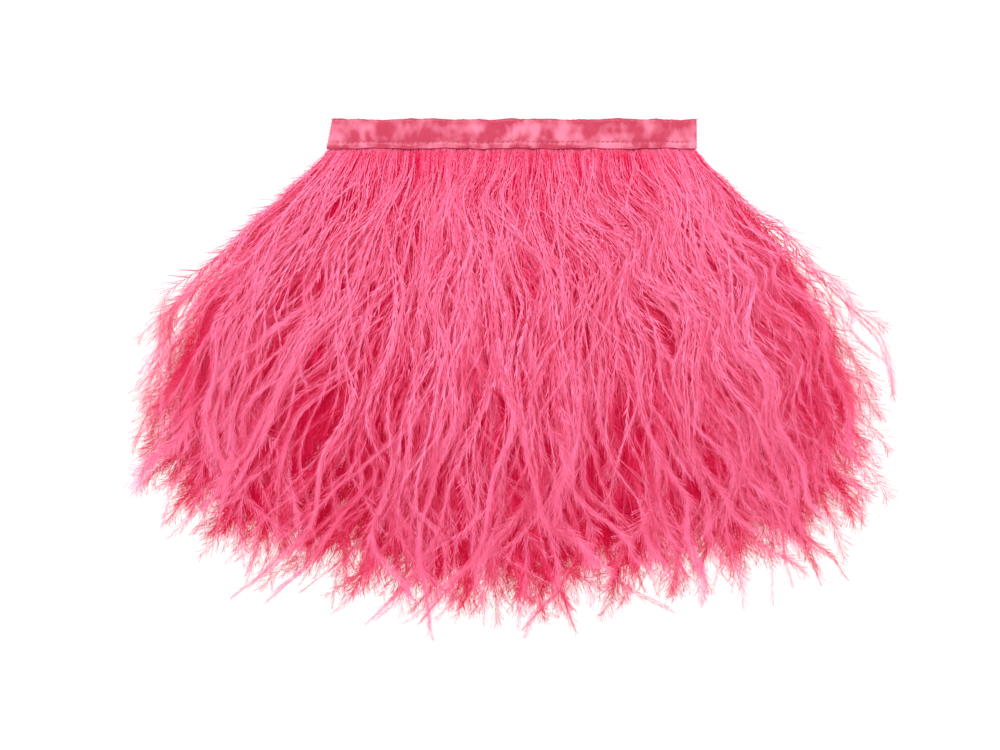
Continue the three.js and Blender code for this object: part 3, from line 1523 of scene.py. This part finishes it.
        inner, body = fringe.loft.inner(drop, fringe.length), fringe.loft.body(drop, t)
        ripple = self.waves(count, habit.ripple, habit.ripple_beats, t)
        drift = self.waves(len(strands), habit.drift, habit.drift_beats, t)[owner]
        flick = rng.normal(0, habit.flick, len(strands))[owner][:, None]
        flick = flick * smooth(t, habit.flick_from, 1.0) ** habit.flick_curve
        deep = inner + body * depth[:, None] + lift + flick
        deep = deep + (ripple + drift) * smooth(t, *habit.rise_from)
        deep = fringe.loft.clear(deep, drop)
        place = [
            held_within(x, fringe.side_limit),
            fringe.hinge_y + self.ply.value * held_within(deep, fringe.depth_limit),
            fringe.hinge_z + fringe.root_rise - held_within(drop, fringe.drop_limit),
        ]
        # Paleness: painted shade by depth in the ply, plus random variation for each strand and flue.
        shade = rng.normal(0.0, fringe.shading.strand_spread, len(strands))[owner]
        shade = shade + rng.normal(0.0, fringe.shading.flue_spread, count)
        tone = fringe.shading.tone(deep / (inner + body), strands.seam[owner]) + shade[:, None]
        fluff = fringe.shading.fluff(depth)
        return Flues(np.stack(place, axis=2), tone, fluff, fringe.barbing, fringe.shading, rng)


# ---------------------------------------------------------------------------------------------
# the studio


@dataclass
class Studio:
    """A plain pale floor, soft light and the camera."""

    floor_z: float = -0.42
    floor_size: float = 12.0
    lens: float = 100.0
    sensor: float = 36.0
    view_width: float = 0.322
    aim_x: float = -4.2 * MM
    aim_z: float = -77.6 * MM
    sky_strength: float = 1.06

    def floor(self) -> None:
        """Lays the floor."""
        shape = bmesh.new()
        place = Matrix.Translation((0.0, 0.0, self.floor_z))
        bmesh.ops.create_grid(
            shape, x_segments=1, y_segments=1, size=self.floor_size / 2, matrix=place
        )
        graph = Graph("pale_floor")
        paint = graph.finish(Base_Color=(0.96, 0.96, 0.96), Roughness=0.85)
        finished("floor", shape, paint)

    def lamp(self, name: str, place: Vector, size: float, power: float) -> None:
        """Hangs a square soft light aimed at the middle of the fringe.

        Args:
            name: its name.
            place: where it hangs.
            size: the length of its side.
            power: in watts.
        """
        data = bpy.data.lights.new(name, "AREA")
        data.shape = "SQUARE"
        data.size = size
        data.energy = power
        lamp = bpy.data.objects.new(name, data)
        bpy.context.collection.objects.link(lamp)
        lamp.location = place
        aim = Vector((0.0, 0.0, self.aim_z)) - place
        lamp.rotation_euler = aim.to_track_quat("-Z", "Y").to_euler()

    def sky(self, strength: float) -> None:
        """Fills the room with white light."""
        world = bpy.data.worlds.new("studio")
        world.use_nodes = True
        back = world.node_tree.nodes["Background"]
        back.inputs["Color"].default_value = (1.0, 1.0, 1.0, 1.0)
        back.inputs["Strength"].default_value = strength
        bpy.context.scene.world = world

    def camera(self) -> None:
        """Sets the camera straight in front."""
        data = bpy.data.cameras.new("camera")
        data.lens = self.lens
        data.sensor_width = self.sensor
        camera = bpy.data.objects.new("camera", data)
        bpy.context.collection.objects.link(camera)
        distance = self.view_width * self.lens / self.sensor
        camera.location = (self.aim_x, -distance, self.aim_z)
        camera.rotation_euler = (math.pi / 2, 0.0, 0.0)
        bpy.context.scene.camera = camera

    def build(self) -> None:
        """Sets up everything that isn't the object."""
        self.floor()
        self.sky(self.sky_strength)
        self.lamp("key", Vector((-0.35, -0.85, 0.75)), 0.5, 8.0)
        self.lamp("fill", Vector((0.8, -0.7, 0.2)), 0.9, 3.0)
        self.camera()
        scene = bpy.context.scene
        scene.view_settings.view_transform = "Standard"
        scene.view_settings.look = "None"


def main() -> None:
    """Builds the fringe and the studio."""
    logging.basicConfig(level=logging.INFO, format="%(name)s %(message)s")
    satin = SatinFinish().material()
    thread = ThreadFinish().material()
    butts = ButtFinish().material()
    flue = FlueFinish().material()
    Header().dress(satin, thread, butts)
    Fringe().dress(flue)
    Studio().build()


if __name__ == "__main__":
    main()
